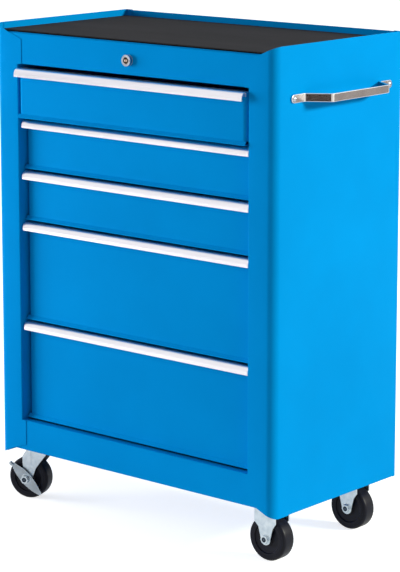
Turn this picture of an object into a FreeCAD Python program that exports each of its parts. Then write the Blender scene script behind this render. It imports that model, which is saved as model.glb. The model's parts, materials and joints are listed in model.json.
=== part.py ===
# Rolling tool cabinet: folded sheet body, five drawers on slides, a top tray with a mat,
# one lock that works a bar behind the drawers, a side handle and four casters.
# Millimetres. +Z is up, +X is to the right seen from the front, and the front faces -Y.
# The origin lies on the floor under the middle of the cabinet's plan.

import FreeCAD, Part
import Sketcher
import math
import os

doc = FreeCAD.newDocument("rolling_tool_cabinet")
sheet = doc.addObject("Spreadsheet::Sheet", "Sizes")

sizes = {
    # Cabinet body
    "cab_width": 616,
    "cab_depth": 336,
    "cab_height": 850,
    "sheet_thick": 1.0,
    "skirt_drop": 14,
    "caster_height": 102,
    "front_bend": 16,
    "rear_bend": 3,
    "fold_bend": 2,
    "flange_width": 53.5,
    "flange_lap": 8.5,
    "jamb_depth": 45,
    "rear_flange": 16,
    "hem_width": 12,
    "hem_start": 41,
    "hem_stop": 8,
    "lap_slope": 11,
    "header_inset": 23,
    "header_height": 53,
    "header_return": 12,
    "header_foot": 15,
    "tray_drop": 14,
    "rim_step": 1,
    "rim_notch": 15,
    "sill_rise": 54,
    "pan_flange": 20,
    "back_inset": 8,
    "back_margin": 1,
    "mat_thick": 2,
    "mat_setback": 3,
    "mat_side_gap": 1.5,
    "upright_web": 37,
    "upright_flange": 33.5,
    # Drawer fronts
    "top_gap": 6.5,
    "drawer_gap": 4,
    "bottom_gap": 4,
    "small_front": 85.5,
    "front_side_gap": 3,
    "face_recess": 16,
    "front_return": 13,
    "edge_bend": 8,
    "lip_height": 6.5,
    "lip_flare": 4.5,
    "lip_return": 10,
    # Pulls
    "pull_thick": 1.6,
    "pull_height": 14.4,
    "pull_reach": 12,
    "pull_bend": 10,
    "pull_back": 10,
    "pull_grip": 8,
    "pull_bead": 2.8,
    "pull_inset": 0.2,
    # Trays
    "tray_rise": 4,
    "tray_headroom": 15.5,
    "tray_lip": 6,
    "lock_space": 29,
    "catch_drop": 20,
    "catch_gap": 2,
    "catch_left": 28,
    "catch_width": 18,
    # Slides
    "slide_space": 12.7,
    "slide_tall": 35,
    "slide_thick": 1.2,
    "slide_lift": 8,
    "slide_front": 36,
    "slide_rear": 19,
    "stop_reach": 7,
    "stop_tall": 16,
    "stop_setback": 2,
    "slide_clear": 0.3,
    "drawer_travel": 225,
    "drawer_ajar": 17,
    # Lock
    "lock_drop": 28.6,
    "lock_head": 19.5,
    "lock_reach": 8,
    "lock_bevel": 1.5,
    "lock_shank": 16,
    "lock_length": 24,
    "lock_plug": 12,
    "plug_recess": 1.2,
    "plug_collar": 14,
    "collar_thick": 2,
    "key_width": 1.6,
    "key_tall": 8,
    "key_deep": 6,
    "nut_flats": 22,
    "nut_thick": 5,
    "fit_gap": 0.09,
    "rod_thick": 7,
    "crank_radius": 14,
    "crank_thick": 3,
    "crank_half": 6,
    "crank_angle": 45,
    "pin_thick": 5,
    "pin_length": 4.5,
    "pin_slack": 0.6,
    "bar_gap": 12,
    "bar_thick": 3,
    "bar_left": 2,
    "bar_width": 20,
    "bar_tail": 40,
    "bar_head": 9,
    "hook_gap": 2,
    "hook_reach": 20,
    "hook_finger": 10,
    "hook_tall": 22,
    "hook_arm": 10,
    "guide_tall": 16,
    "guide_foot": 12,
    "bracket_width": 30,
    "bracket_foot": 16,
    "bracket_tail": 12,
    "bracket_gap": 7,
    # Side handle
    "handle_thick": 3,
    "handle_tall": 13.5,
    "handle_reach": 40,
    "handle_drop": 84.5,
    "handle_middle": 4,
    "handle_bar": 151,
    "handle_legs": 199,
    "handle_length": 266,
    "handle_screws": 252,
    "handle_bend": 5,
    "screw_head": 9,
    "screw_dome": 2.6,
    # Casters
    "caster_side": 48,
    "caster_end": 58,
    "wheel_size": 75,
    "wheel_width": 28,
    "wheel_shoulder": 4.5,
    "plate_long": 76,
    "plate_wide": 66,
    "plate_thick": 2.5,
    "bolt_long": 60,
    "bolt_wide": 49,
    "bolt_neck": 6.4,
    "bolt_flats": 11,
    "bolt_head": 4.5,
    "bolt_nut": 5,
    "bolt_slack": 0.3,
    "race_size": 42,
    "race_tall": 6.2,
    "fork_thick": 2.5,
    "fork_bend": 5,
    "fork_joggle": 2,
    "fork_neck": 57,
    "fork_shoulder": 66,
    "neck_half": 15,
    "rigid_half": 22,
    "swivel_heel": 14,
    "swivel_toe": 33,
    "swivel_neck": 8,
    "swivel_rise": 29,
    "crown_toe": 23.5,
    "crown_drop": 15,
    "groove_place": 12.5,
    "groove_wide": 4,
    "groove_deep": 1,
    "fork_end": 10,
    "fork_slack": 0.6,
    "pin_head": 16,
    "king_pin": 10,
    "trail": 25,
    "swivel_front": 198.6,
    "swivel_rear": 168,
    "axle_thick": 8,
    "axle_flats": 13,
    "axle_head": 4,
    "axle_nut": 6.5,
    "lever_length": 76,
    "lever_width": 21,
    "lever_end": 4,
    "lever_thick": 2.5,
    "lever_dish": 17,
    "dish_rise": 1.2,
    "curl_size": 8,
    "curl_reach": 4,
    "lever_angle": 43.5,
}


class Size:
    """A length that also knows the sheet expression that it comes from."""

    def __init__(self, value, text):
        self.value = float(value)
        self.text = text

    def joined(self, other, sign, result):
        return Size(result, "(" + self.text + " " + sign + " " + as_size(other).text + ")")

    def __add__(self, other):
        return self.joined(other, "+", self.value + as_size(other).value)

    def __sub__(self, other):
        return self.joined(other, "-", self.value - as_size(other).value)

    def __mul__(self, other):
        return self.joined(other, "*", self.value * as_size(other).value)

    def __truediv__(self, other):
        return self.joined(other, "/", self.value / as_size(other).value)

    def __radd__(self, other):
        return as_size(other) + self

    def __rsub__(self, other):
        return as_size(other) - self

    def __rmul__(self, other):
        return as_size(other) * self

    def __neg__(self):
        return Size(-self.value, "(0 - " + self.text + ")")


def as_size(value):
    if isinstance(value, Size):
        return value
    if value < 0:
        return Size(value, "(0 - %.10g)" % -value)
    return Size(value, "%.10g" % value)


class Named:
    """The sheet's values by name."""


S = Named()
for row, (alias, value) in enumerate(sizes.items(), start=1):
    sheet.set("A%d" % row, alias)
    sheet.set("B%d" % row, str(value))
    sheet.setAlias("B%d" % row, alias)
    setattr(S, alias, Size(value, "Sizes." + alias))
doc.recompute()

nodes = []
cuts = []


# Bodies and sketches


def new_body(name, is_node=True):
    body = doc.addObject("PartDesign::Body", name)
    body.Label = name
    body.AllowCompound = True
    if is_node:
        nodes.append(body)
    return body


def origin_feature(body, role):
    for feature in body.Origin.OriginFeatures:
        if feature.Role == role:
            return feature


def bind(thing, path, size):
    size = as_size(size)
    if "Sizes." in size.text:
        thing.setExpression(path, size.text)


def new_sketch(body, name, plane, height, shift_u=0, shift_v=0):
    """A sketch on a plane of the body, at a height along that plane's world axis."""
    sketch = body.newObject("Sketcher::SketchObject", name)
    sketch.AttachmentSupport = [(origin_feature(body, plane + "_Plane"), "")]
    sketch.MapMode = "FlatFace"
    lift = as_size(height)
    if plane == "XZ":
        lift = -lift
    sketch.AttachmentOffset = FreeCAD.Placement(
        FreeCAD.Vector(as_size(shift_u).value, as_size(shift_v).value, lift.value),
        FreeCAD.Rotation(),
    )
    bind(sketch, "AttachmentOffset.Base.x", shift_u)
    bind(sketch, "AttachmentOffset.Base.y", shift_v)
    bind(sketch, "AttachmentOffset.Base.z", lift)
    return sketch


def pin_point(sketch, geometry, end, u, v):
    """Holds one point of the sketch at (u, v)."""
    for kind, size, axis in (("DistanceX", u, -2), ("DistanceY", v, -1)):
        if abs(size.value) < 1e-9:
            sketch.addConstraint(Sketcher.Constraint("PointOnObject", geometry, end, axis))
        else:
            index = sketch.addConstraint(
                Sketcher.Constraint(kind, -1, 1, geometry, end, size.value)
            )
            bind(sketch, "Constraints[%d]" % index, size)


def hold_radius(sketch, geometry, radius):
    index = sketch.addConstraint(Sketcher.Constraint("Radius", geometry, radius.value))
    bind(sketch, "Constraints[%d]" % index, radius)


def circle(sketch, u, v, diameter):
    u, v, radius = as_size(u), as_size(v), as_size(diameter) / 2
    centre = FreeCAD.Vector(u.value, v.value, 0)
    index = sketch.addGeometry(
        Part.Circle(centre, FreeCAD.Vector(0, 0, 1), radius.value), False
    )
    hold_radius(sketch, index, radius)
    pin_point(sketch, index, 3, u, v)


def step(value):
    return (value > 1e-9) - (value < -1e-9)


def moved(size, length, direction):
    if direction > 0:
        return size + length
    if direction < 0:
        return size - length
    return size


def arc_between(sketch, start, stop, centre, radius, turn):
    """Adds an arc and returns its index with the numbers of its first and last point."""
    first = math.atan2(start[1] - centre[1], start[0] - centre[0])
    last = math.atan2(stop[1] - centre[1], stop[0] - centre[0])
    if turn < 0:
        first, last = last, first
    if last < first:
        last += 2 * math.pi
    ring = Part.Circle(FreeCAD.Vector(centre[0], centre[1], 0), FreeCAD.Vector(0, 0, 1), radius)
    index = sketch.addGeometry(Part.ArcOfCircle(ring, first, last), False)
    return (index, 1, 2) if turn > 0 else (index, 2, 1)


def chain(sketch, marks, bends):
    """Closed chain through the marks; bends[i] is (radius, centre, turn) from mark i to the next."""
    edges = []
    count = len(marks)
    for i in range(count):
        start = (marks[i][0].value, marks[i][1].value)
        stop = (marks[(i + 1) % count][0].value, marks[(i + 1) % count][1].value)
        if bends[i]:
            radius, centre, turn = bends[i]
            edges.append(arc_between(sketch, start, stop, centre, radius.value, turn))
        else:
            line = Part.LineSegment(FreeCAD.Vector(*start, 0), FreeCAD.Vector(*stop, 0))
            edges.append((sketch.addGeometry(line, False), 1, 2))
    for i in range(count):
        ahead = edges[(i + 1) % count]
        sketch.addConstraint(
            Sketcher.Constraint("Coincident", edges[i][0], edges[i][2], ahead[0], ahead[1])
        )
    for i in range(count):
        pin_point(sketch, edges[i][0], edges[i][1], marks[i][0], marks[i][1])
        if bends[i]:
            hold_radius(sketch, edges[i][0], bends[i][0])


def outline(sketch, points):
    """Closed outline; a third value on a point rounds that square corner."""
    corners = []
    for point in points:
        radius = as_size(point[2]) if len(point) > 2 else None
        corners.append((as_size(point[0]), as_size(point[1]), radius))
    marks = []
    bends = []
    for i, (u, v, radius) in enumerate(corners):
        before = corners[i - 1]
        after = corners[(i + 1) % len(corners)]
        if radius is None or radius.value < 0.05:
            marks.append((u, v))
            bends.append(None)
            continue
        in_u = step(u.value - before[0].value)
        in_v = step(v.value - before[1].value)
        out_u = step(after[0].value - u.value)
        out_v = step(after[1].value - v.value)
        entry = (moved(u, radius, -in_u), moved(v, radius, -in_v))
        leave = (moved(u, radius, out_u), moved(v, radius, out_v))
        centre = (
            moved(entry[0], radius, out_u).value,
            moved(entry[1], radius, out_v).value,
        )
        marks.append(entry)
        bends.append((radius, centre, in_u * out_v - in_v * out_u))
        marks.append(leave)
        bends.append(None)
    kept_marks = []
    kept_bends = []
    for i, mark in enumerate(marks):
        ahead = marks[(i + 1) % len(marks)]
        gap = abs(mark[0].value - ahead[0].value) + abs(mark[1].value - ahead[1].value)
        if bends[i] is None and gap < 1e-6:
            continue
        kept_marks.append(mark)
        kept_bends.append(bends[i])
    chain(sketch, kept_marks, kept_bends)


def box_points(u0, v0, u1, v1, radius=0):
    return [(u0, v0, radius), (u1, v0, radius), (u1, v1, radius), (u0, v1, radius)]


def hexagon(u, v, flats):
    """Corners of a hexagon with two flats level."""
    reach = as_size(flats) / math.sqrt(3)
    half = as_size(flats) / 2
    return [
        (u + reach, v),
        (u + reach / 2, v + half),
        (u - reach / 2, v + half),
        (u - reach, v),
        (u - reach / 2, v - half),
        (u + reach / 2, v - half),
    ]


def draw(sketch, shapes):
    for shape in shapes:
        if isinstance(shape, tuple):
            circle(sketch, *shape)
        else:
            outline(sketch, shape)


# Features


def pad(body, name, plane, shapes, low, high):
    """Adds material between two heights along the plane's world axis."""
    low, high = as_size(low), as_size(high)
    sketch = new_sketch(body, name + "_sketch", plane, high if plane == "XZ" else low)
    draw(sketch, shapes)
    feature = body.newObject("PartDesign::Pad", name)
    feature.Profile = sketch
    feature.Length = (high - low).value
    bind(feature, "Length", high - low)
    return feature


def cut(body, name, plane, shapes, low, high):
    """Takes material away between two heights along the plane's world axis."""
    low, high = as_size(low), as_size(high)
    sketch = new_sketch(body, name + "_sketch", plane, low if plane == "XZ" else high)
    draw(sketch, shapes)
    feature = body.newObject("PartDesign::Pocket", name)
    feature.Profile = sketch
    feature.Length = (high - low).value
    bind(feature, "Length", high - low)
    cuts.append(feature)
    return feature


def turned(body, name, plane, height, shift_u, shift_v, points, axis="H_Axis"):
    """Revolves an outline about an axis of its own sketch."""
    sketch = new_sketch(body, name + "_sketch", plane, height, shift_u, shift_v)
    outline(sketch, points)
    feature = body.newObject("PartDesign::Revolution", name)
    feature.Profile = sketch
    feature.ReferenceAxis = (sketch, [axis])
    feature.Angle = 360
    return feature


def copies(body, name, features, moves):
    """Repeats features along the body's axes; each move is (axis, spacing)."""
    patterns = []
    for number, (role, spacing) in enumerate(moves):
        pattern = doc.addObject("PartDesign::LinearPattern", name + "_%d" % number)
        pattern.Direction = (origin_feature(body, role), [""])
        pattern.Occurrences = 2
        bind(pattern, "Length", spacing)
        patterns.append(pattern)
    repeat = body.newObject("PartDesign::MultiTransform", name)
    repeat.Originals = features
    repeat.Transformations = patterns
    body.Tip = repeat
    return repeat


def soften(body, name, wanted, radius):
    """Rounds the edges that the test picks."""
    doc.recompute()
    base = body.Tip
    edges = []
    for number, edge in enumerate(base.Shape.Edges, start=1):
        if wanted(edge):
            edges.append("Edge%d" % number)
    feature = body.newObject("PartDesign::Fillet", name)
    feature.Base = (base, edges)
    feature.Radius = as_size(radius).value
    bind(feature, "Radius", radius)
    return feature


def place(body, x=0, y=0, z=0, axis=None, angle=0):
    turn = FreeCAD.Rotation(axis, as_size(angle).value) if axis else FreeCAD.Rotation()
    x, y, z = as_size(x), as_size(y), as_size(z)
    body.Placement = FreeCAD.Placement(FreeCAD.Vector(x.value, y.value, z.value), turn)
    bind(body, "Placement.Base.x", x)
    bind(body, "Placement.Base.y", y)
    bind(body, "Placement.Base.z", z)


# Lines that several pieces share

half_width = S.cab_width / 2
front = -(S.cab_depth / 2)
back = S.cab_depth / 2
rear = back - S.sheet_thick
skirt = S.caster_height - S.skirt_drop
face = front + S.sheet_thick
jamb = half_width - S.flange_width
lap = jamb - S.flange_lap
inside = half_width - S.sheet_thick
inner_bend = S.fold_bend - S.sheet_thick
header_top = S.cab_height - S.tray_drop
opening_top = header_top - S.header_height
sill_top = S.caster_height + S.sill_rise
header_half = half_width - S.header_inset
corner_y = front + S.front_bend + 4
rim_top = S.cab_height - S.rim_step


# Side panels: one sheet each, folded at the front, the back, the bottom and round the opening


def side_panel(name, side):
    body = new_body(name)
    tail = half_width - S.rear_flange
    sheet_line = [
        (lap * side, front),
        (half_width * side, front, S.front_bend),
        (half_width * side, rear, S.rear_bend),
        (tail * side, rear),
        (tail * side, rear - S.sheet_thick),
        (inside * side, rear - S.sheet_thick, S.rear_bend - S.sheet_thick),
        (inside * side, face, S.front_bend - S.sheet_thick),
        (lap * side, face),
    ]
    pad(body, name + "_sheet", "XY", [sheet_line], skirt, S.cab_height)
    edge = (jamb + S.fold_bend) * side
    hole = box_points((lap - 1) * side, sill_top, edge, opening_top)
    cut(body, name + "_opening", "XZ", [hole], front - 1, face + 1)
    far = (jamb + S.fold_bend * 2) * side
    jamb_line = [
        (jamb * side, front, S.fold_bend),
        (far, front),
        (far, face),
        ((jamb + S.sheet_thick) * side, face, inner_bend),
        ((jamb + S.sheet_thick) * side, front + S.jamb_depth),
        (jamb * side, front + S.jamb_depth),
    ]
    pad(body, name + "_jamb", "XY", [jamb_line], sill_top, opening_top)
    slope = half_width - S.front_bend * 2
    upper = [
        (half_width * side, S.cab_height),
        (slope * side, header_top),
        ((slope - 6) * side, header_top - 1),
        ((lap - 1) * side, header_top - S.lap_slope),
        ((lap - 1) * side, S.cab_height + 1),
        (half_width * side, S.cab_height + 1),
    ]
    cut(body, name + "_upper_slope", "XZ", [upper], front - 1, front + S.front_bend)
    lower = [
        (half_width * side, skirt),
        (slope * side, S.caster_height),
        ((lap - 1) * side, S.caster_height + S.lap_slope),
        ((lap - 1) * side, skirt - 1),
        (half_width * side, skirt - 1),
    ]
    cut(body, name + "_lower_slope", "XZ", [lower], front - 1, front + S.front_bend)
    hem_from = front + S.hem_start
    hem_to = rear - S.hem_stop
    strip = box_points(
        (inside - 1) * side,
        skirt - 1,
        (half_width + 1) * side,
        skirt + S.fold_bend,
    )
    cut(body, name + "_hem_room", "XZ", [strip], hem_from, hem_to)
    hem_end = (half_width - S.hem_width) * side
    hem = [
        (hem_end, skirt),
        (half_width * side, skirt, S.fold_bend),
        (half_width * side, skirt + S.fold_bend * 2),
        (inside * side, skirt + S.fold_bend * 2),
        (inside * side, skirt + S.sheet_thick, inner_bend),
        (hem_end, skirt + S.sheet_thick),
    ]
    pad(body, name + "_hem", "XZ", [hem], hem_from, hem_to)
    return body


handle_z = S.cab_height - S.handle_drop
screw_first = S.handle_middle - S.handle_screws / 2

side_panel("side_panel_left", -1)
side_panel("side_panel_right", 1)


# Back panel, laid on the side panels' rear flanges

back_panel = new_body("back_panel")
back_half = half_width - S.back_inset
pad(
    back_panel,
    "back_sheet",
    "XZ",
    [
        box_points(
            -back_half,
            skirt + S.back_margin,
            back_half,
            S.cab_height - S.back_margin,
        )
    ],
    rear,
    back,
)


# Front header with a top and a bottom fold, and the hole for the lock

lock_z = header_top - S.lock_drop
front_header = new_body("front_header")
header_line = [
    (face + S.header_foot, opening_top),
    (face, opening_top, S.fold_bend),
    (face, header_top, S.fold_bend),
    (face + S.header_return, header_top),
    (face + S.header_return, header_top - S.sheet_thick),
    (face + S.sheet_thick, header_top - S.sheet_thick, inner_bend),
    (face + S.sheet_thick, opening_top + S.sheet_thick, inner_bend),
    (face + S.header_foot, opening_top + S.sheet_thick),
]
pad(front_header, "header_sheet", "YZ", [header_line], -header_half, header_half)
lock_hole = S.lock_shank + S.fit_gap * 2
cut(front_header, "lock_hole", "XZ", [(0, lock_z, lock_hole)], front - 1, face + S.header_return)


# Base pan: its front fold is the rail below the lowest drawer

pan = S.caster_height
pan_top = pan + S.sheet_thick
base_pan = new_body("base_pan")
pan_back = rear - S.sheet_thick
plan_half = inside - S.fold_bend


def floor_plan(front_y):
    """Plan of a sheet that clears the rounded front corners of the side panels."""
    return [
        (-header_half, front_y),
        (header_half, front_y),
        (plan_half, corner_y),
        (plan_half, pan_back),
        (-plan_half, pan_back),
        (-plan_half, corner_y),
    ]


def side_fold(side, low, high):
    """Section of an upturned edge that lies against a side panel."""
    return [
        ((inside - 12) * side, low),
        (inside * side, low),
        (inside * side, high),
        ((inside - S.sheet_thick) * side, high),
        ((inside - S.sheet_thick) * side, low + S.sheet_thick),
        ((inside - 12) * side, low + S.sheet_thick),
    ]


def rear_fold(low, high):
    """Section of an upturned edge that lies against the back panel."""
    return [
        (rear - 12, low),
        (rear, low),
        (rear, high),
        (pan_back, high),
        (pan_back, low + S.sheet_thick),
        (rear - 12, low + S.sheet_thick),
    ]


rail_line = [
    (face + S.header_foot, sill_top),
    (face, sill_top, S.fold_bend),
    (face, pan, S.fold_bend),
    (face + S.header_foot, pan),
    (face + S.header_foot, pan_top),
    (face + S.sheet_thick, pan_top, inner_bend),
    (face + S.sheet_thick, sill_top - S.sheet_thick, inner_bend),
    (face + S.header_foot, sill_top - S.sheet_thick),
]
pad(base_pan, "front_rail", "YZ", [rail_line], -header_half, header_half)
pad(base_pan, "pan_floor", "XY", [floor_plan(face + S.fold_bend)], pan, pan_top)
fold_stop = rear - S.rear_bend - 1
for side, word in ((-1, "left"), (1, "right")):
    section = side_fold(side, pan, pan + S.pan_flange)
    pad(base_pan, "pan_fold_" + word, "XZ", [section], corner_y, fold_stop)
pan_rear_half = jamb - 2
pad(
    base_pan,
    "pan_fold_rear",
    "YZ",
    [rear_fold(pan, pan + S.pan_flange)],
    -pan_rear_half,
    pan_rear_half,
)
caster_x = half_width - S.caster_side
caster_y = back - S.caster_end
bolt_x = -caster_x - S.bolt_long / 2
bolt_y = -caster_y - S.bolt_wide / 2
bolt_moves = [
    ("X_Axis", S.bolt_long),
    ("X_Axis", caster_x * 2),
    ("Y_Axis", S.bolt_wide),
    ("Y_Axis", caster_y * 2),
]


def square(u, v, width):
    half = width / 2
    return box_points(u - half, v - half, u + half, v + half)


bolt_hole = S.bolt_neck + S.bolt_slack * 2
first_hole = cut(
    base_pan, "bolt_hole", "XY", [square(bolt_x, bolt_y, bolt_hole)], pan - 1, pan_top + 1
)
doc.recompute()
copies(base_pan, "bolt_holes", [first_hole], bolt_moves)


# Top panel: floor of the tray, with upturned edges inside the rim

top_panel = new_body("top_panel")
tray_floor = header_top + S.sheet_thick
pad(top_panel, "tray_sheet", "XY", [floor_plan(face + S.fold_bend)], header_top, tray_floor)
for side, word in ((-1, "left"), (1, "right")):
    section = side_fold(side, header_top, rim_top)
    pad(top_panel, "rim_" + word, "XZ", [section], corner_y, rear - S.rim_notch)
rim_rear_half = half_width - S.rear_flange - S.slide_clear
pad(
    top_panel,
    "rim_rear",
    "YZ",
    [rear_fold(header_top, rim_top)],
    -rim_rear_half,
    rim_rear_half,
)

top_mat = new_body("top_mat")
mat_half = inside - S.sheet_thick - S.mat_side_gap
mat_front = face + S.mat_setback
mat_back = pan_back - S.mat_side_gap
mat_round = S.front_bend + 4
mat_plan = [
    (-mat_half, mat_front, mat_round),
    (mat_half, mat_front, mat_round),
    (mat_half, mat_back),
    (-mat_half, mat_back),
]
pad(top_mat, "mat_sheet", "XY", [mat_plan], tray_floor, tray_floor + S.mat_thick)


# Rear uprights that carry the back ends of the slides

upright_front = rear - S.upright_web
for side, word in ((-1, "left"), (1, "right")):
    upright = new_body("rear_upright_" + word)
    thick = S.slide_thick
    section = [
        (jamb * side, upright_front),
        (jamb * side, rear),
        ((jamb + S.upright_flange) * side, rear),
        ((jamb + S.upright_flange) * side, rear - thick),
        ((jamb + thick) * side, rear - thick),
        ((jamb + thick) * side, upright_front),
    ]
    pad(upright, "upright_sheet_" + word, "XY", [section], pan_top, header_top)


# Drawer levels, from the top down: (bottom, top) of each front

opening = opening_top - sill_top
large_front = (
    opening - S.top_gap - S.small_front * 3 - S.drawer_gap * 4 - S.bottom_gap
) / 2
levels = []
upper_edge = opening_top - S.top_gap
for number in range(5):
    tall = S.small_front if number < 3 else large_front
    levels.append((upper_edge - tall, upper_edge))
    upper_edge = upper_edge - tall - S.drawer_gap

drawer_face = front + S.face_recess
drawer_back_of_face = drawer_face + S.sheet_thick
front_half = jamb - S.front_side_gap
tray_half = jamb - S.slide_space
tray_back = rear - S.lock_space
bar_back = rear - S.bar_gap
bar_front = bar_back - S.bar_thick
slide_start = front + S.slide_front
slide_stop = rear - S.slide_rear
rail_tip = tray_half + S.slide_thick + S.slide_clear
rail_web = jamb - S.slide_thick
runner_tip = rail_web - S.slide_clear
runner_half = S.slide_tall / 2 - S.slide_thick - S.slide_clear
runner_web = tray_half + S.slide_thick
front_stop = slide_start + S.stop_setback
front_stop_back = front_stop + S.slide_thick
runner_stop = front_stop_back + S.slide_clear + S.drawer_travel


def channel(web, tip, middle, half, side):
    """Section of a folded channel with its web at one x and its flange tips at another."""
    thick = S.slide_thick
    toward = 1 if tip.value > web.value else -1
    inner = web + thick * toward
    return [
        (tip * side, middle - half),
        (web * side, middle - half),
        (web * side, middle + half),
        (tip * side, middle + half),
        (tip * side, middle + half - thick),
        (inner * side, middle + half - thick),
        (inner * side, middle - half + thick),
        (tip * side, middle - half + thick),
    ]


def stop_tab(x0, x1, middle, side):
    half = S.stop_tall / 2
    return box_points(x0 * side, middle - half, x1 * side, middle + half)


def rail_pair(number, middle):
    """The two cabinet members of a slide, fixed to the jambs and the rear uprights."""
    name = "rail_pair_%d" % number
    body = new_body(name)
    half = S.slide_tall / 2
    sections = [channel(jamb, rail_tip, middle, half, side) for side in (-1, 1)]
    tabs = [stop_tab(rail_web - S.stop_reach, rail_web, middle, side) for side in (-1, 1)]
    pad(body, name + "_channel", "XZ", sections, slide_start, slide_stop)
    pad(body, name + "_front_stop", "XZ", tabs, front_stop, front_stop_back)
    rear_stop = tray_back + S.slide_clear
    pad(body, name + "_rear_stop", "XZ", tabs, rear_stop, rear_stop + S.slide_thick)


def runner_pair(number, middle, shift):
    """The two drawer members of a slide, fixed to the tray and nested in the rails."""
    name = "drawer_%d_runners" % number
    body = new_body(name)
    sections = [channel(tray_half, runner_tip, middle, runner_half, side) for side in (-1, 1)]
    reach = runner_web + S.stop_reach + 1
    tabs = [stop_tab(runner_web, reach, middle, side) for side in (-1, 1)]
    pad(body, name + "_channel", "XZ", sections, slide_start, tray_back)
    pad(body, name + "_stop", "XZ", tabs, runner_stop, runner_stop + S.slide_thick)
    pad(body, name + "_end", "XZ", tabs, tray_back - S.slide_thick, tray_back)
    place(body, y=shift)


# Trays with a turned-in lip and a catch for the lock bar


def tray(number, bottom, top, shift):
    name = "drawer_%d_tray" % number
    body = new_body(name)
    y0 = drawer_back_of_face
    thick = S.sheet_thick
    pad(
        body,
        name + "_block",
        "XY",
        [box_points(-tray_half, y0, tray_half, tray_back)],
        bottom,
        top,
    )
    room = box_points(
        -tray_half + thick, y0 + thick, tray_half - thick, tray_back - thick
    )
    mouth = box_points(
        -tray_half + S.tray_lip,
        y0 + S.tray_lip,
        tray_half - S.tray_lip,
        tray_back - S.tray_lip,
    )
    cut(body, name + "_mouth", "XY", [mouth], bottom + thick, top + 1)
    cut(body, name + "_room", "XY", [room], bottom + thick, top - thick)
    plate = S.slide_thick
    catch_back = bar_back + S.catch_gap + plate
    catch = [
        (tray_back - thick, top),
        (catch_back, top),
        (catch_back, top - S.catch_drop),
        (catch_back - plate, top - S.catch_drop),
        (catch_back - plate, top - plate),
        (tray_back - thick, top - plate),
    ]
    catch_right = S.catch_left + S.catch_width
    pad(body, name + "_catch", "YZ", [catch], S.catch_left, catch_right)
    place(body, y=shift)


# Drawer fronts: rolled side edges, a top fold under the pull and a flared bottom lip


def drawer_front(number, bottom, top, shift):
    name = "drawer_%d_front" % number
    body = new_body(name)
    thick = S.sheet_thick
    crown = top - S.pull_thick
    rim = drawer_face + S.front_return
    inner_x = front_half - thick
    plan = [
        (-front_half, rim),
        (-front_half, drawer_face, S.edge_bend),
        (front_half, drawer_face, S.edge_bend),
        (front_half, rim),
        (inner_x, rim),
        (inner_x, drawer_back_of_face, S.edge_bend - thick),
        (-inner_x, drawer_back_of_face, S.edge_bend - thick),
        (-inner_x, rim),
    ]
    pad(body, name + "_face", "XY", [plan], bottom + S.lip_height, crown)
    fold = [
        (-front_half, rim),
        (-front_half, drawer_face, S.edge_bend),
        (front_half, drawer_face, S.edge_bend),
        (front_half, rim),
    ]
    pad(body, name + "_fold", "XY", [fold], crown - thick, crown)
    lip = [
        (drawer_face, bottom + S.lip_height),
        (drawer_face - S.lip_flare, bottom + thick),
        (drawer_face - S.lip_flare, bottom),
        (drawer_face + S.lip_return, bottom),
        (drawer_face + S.lip_return, bottom + thick),
        (drawer_face - S.lip_flare + thick * 1.3, bottom + thick),
        (drawer_back_of_face, bottom + S.lip_height),
    ]
    pad(body, name + "_lip", "YZ", [lip], -front_half, front_half)
    place(body, y=shift)


# Pulls: a rounded hook of aluminium over the top edge of each front


def pull(number, top, shift):
    name = "drawer_%d_pull" % number
    body = new_body(name)
    thick = S.pull_thick
    nose = drawer_face - S.pull_reach
    foot = top - S.pull_height
    section = [
        (drawer_face + S.pull_back, top),
        (nose, top, S.pull_bend),
        (nose, foot),
        (nose + S.pull_bead, foot),
        (nose + S.pull_bead, foot + 2),
        (nose + thick, foot + 2),
        (nose + thick, top - thick, S.pull_bend - thick),
        (drawer_face - thick, top - thick),
        (drawer_face - thick, top - S.pull_grip),
        (drawer_face, top - S.pull_grip),
        (drawer_face, top - thick),
        (drawer_face + S.pull_back, top - thick),
    ]
    half = front_half - S.pull_inset
    pad(body, name + "_hook", "YZ", [section], -half, half)
    place(body, y=shift)


tray_tops = []
for number, (bottom, top) in enumerate(levels, start=1):
    shift = -S.drawer_ajar if number == 1 else 0
    tray_bottom = bottom + S.tray_rise
    tray_top = top - S.tray_headroom
    tray_tops.append(tray_top)
    slide_middle = tray_bottom + S.slide_lift + S.slide_tall / 2
    rail_pair(number, slide_middle)
    tray(number, tray_bottom, tray_top, shift)
    drawer_front(number, bottom, top, shift)
    pull(number, top, shift)
    runner_pair(number, slide_middle, shift)


# Lock barrel and plug, turned about the line through the header's hole

head_front = face - S.lock_reach
shank_back = face + S.lock_length
bore = S.lock_plug / 2 + S.fit_gap
lock_barrel = new_body("lock_barrel")
turned(
    lock_barrel,
    "barrel",
    "YZ",
    0,
    0,
    lock_z,
    [
        (head_front, bore),
        (head_front, S.lock_head / 2 - S.lock_bevel),
        (head_front + S.lock_bevel, S.lock_head / 2),
        (face, S.lock_head / 2),
        (face, S.lock_shank / 2),
        (shank_back, S.lock_shank / 2),
        (shank_back, bore),
    ],
)

lock_nut = new_body("lock_nut")
nut_front = face + S.sheet_thick
nut_shapes = [hexagon(as_size(0), lock_z, S.nut_flats), (0, lock_z, lock_hole)]
pad(lock_nut, "nut", "XZ", nut_shapes, nut_front, nut_front + S.nut_thick)

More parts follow.
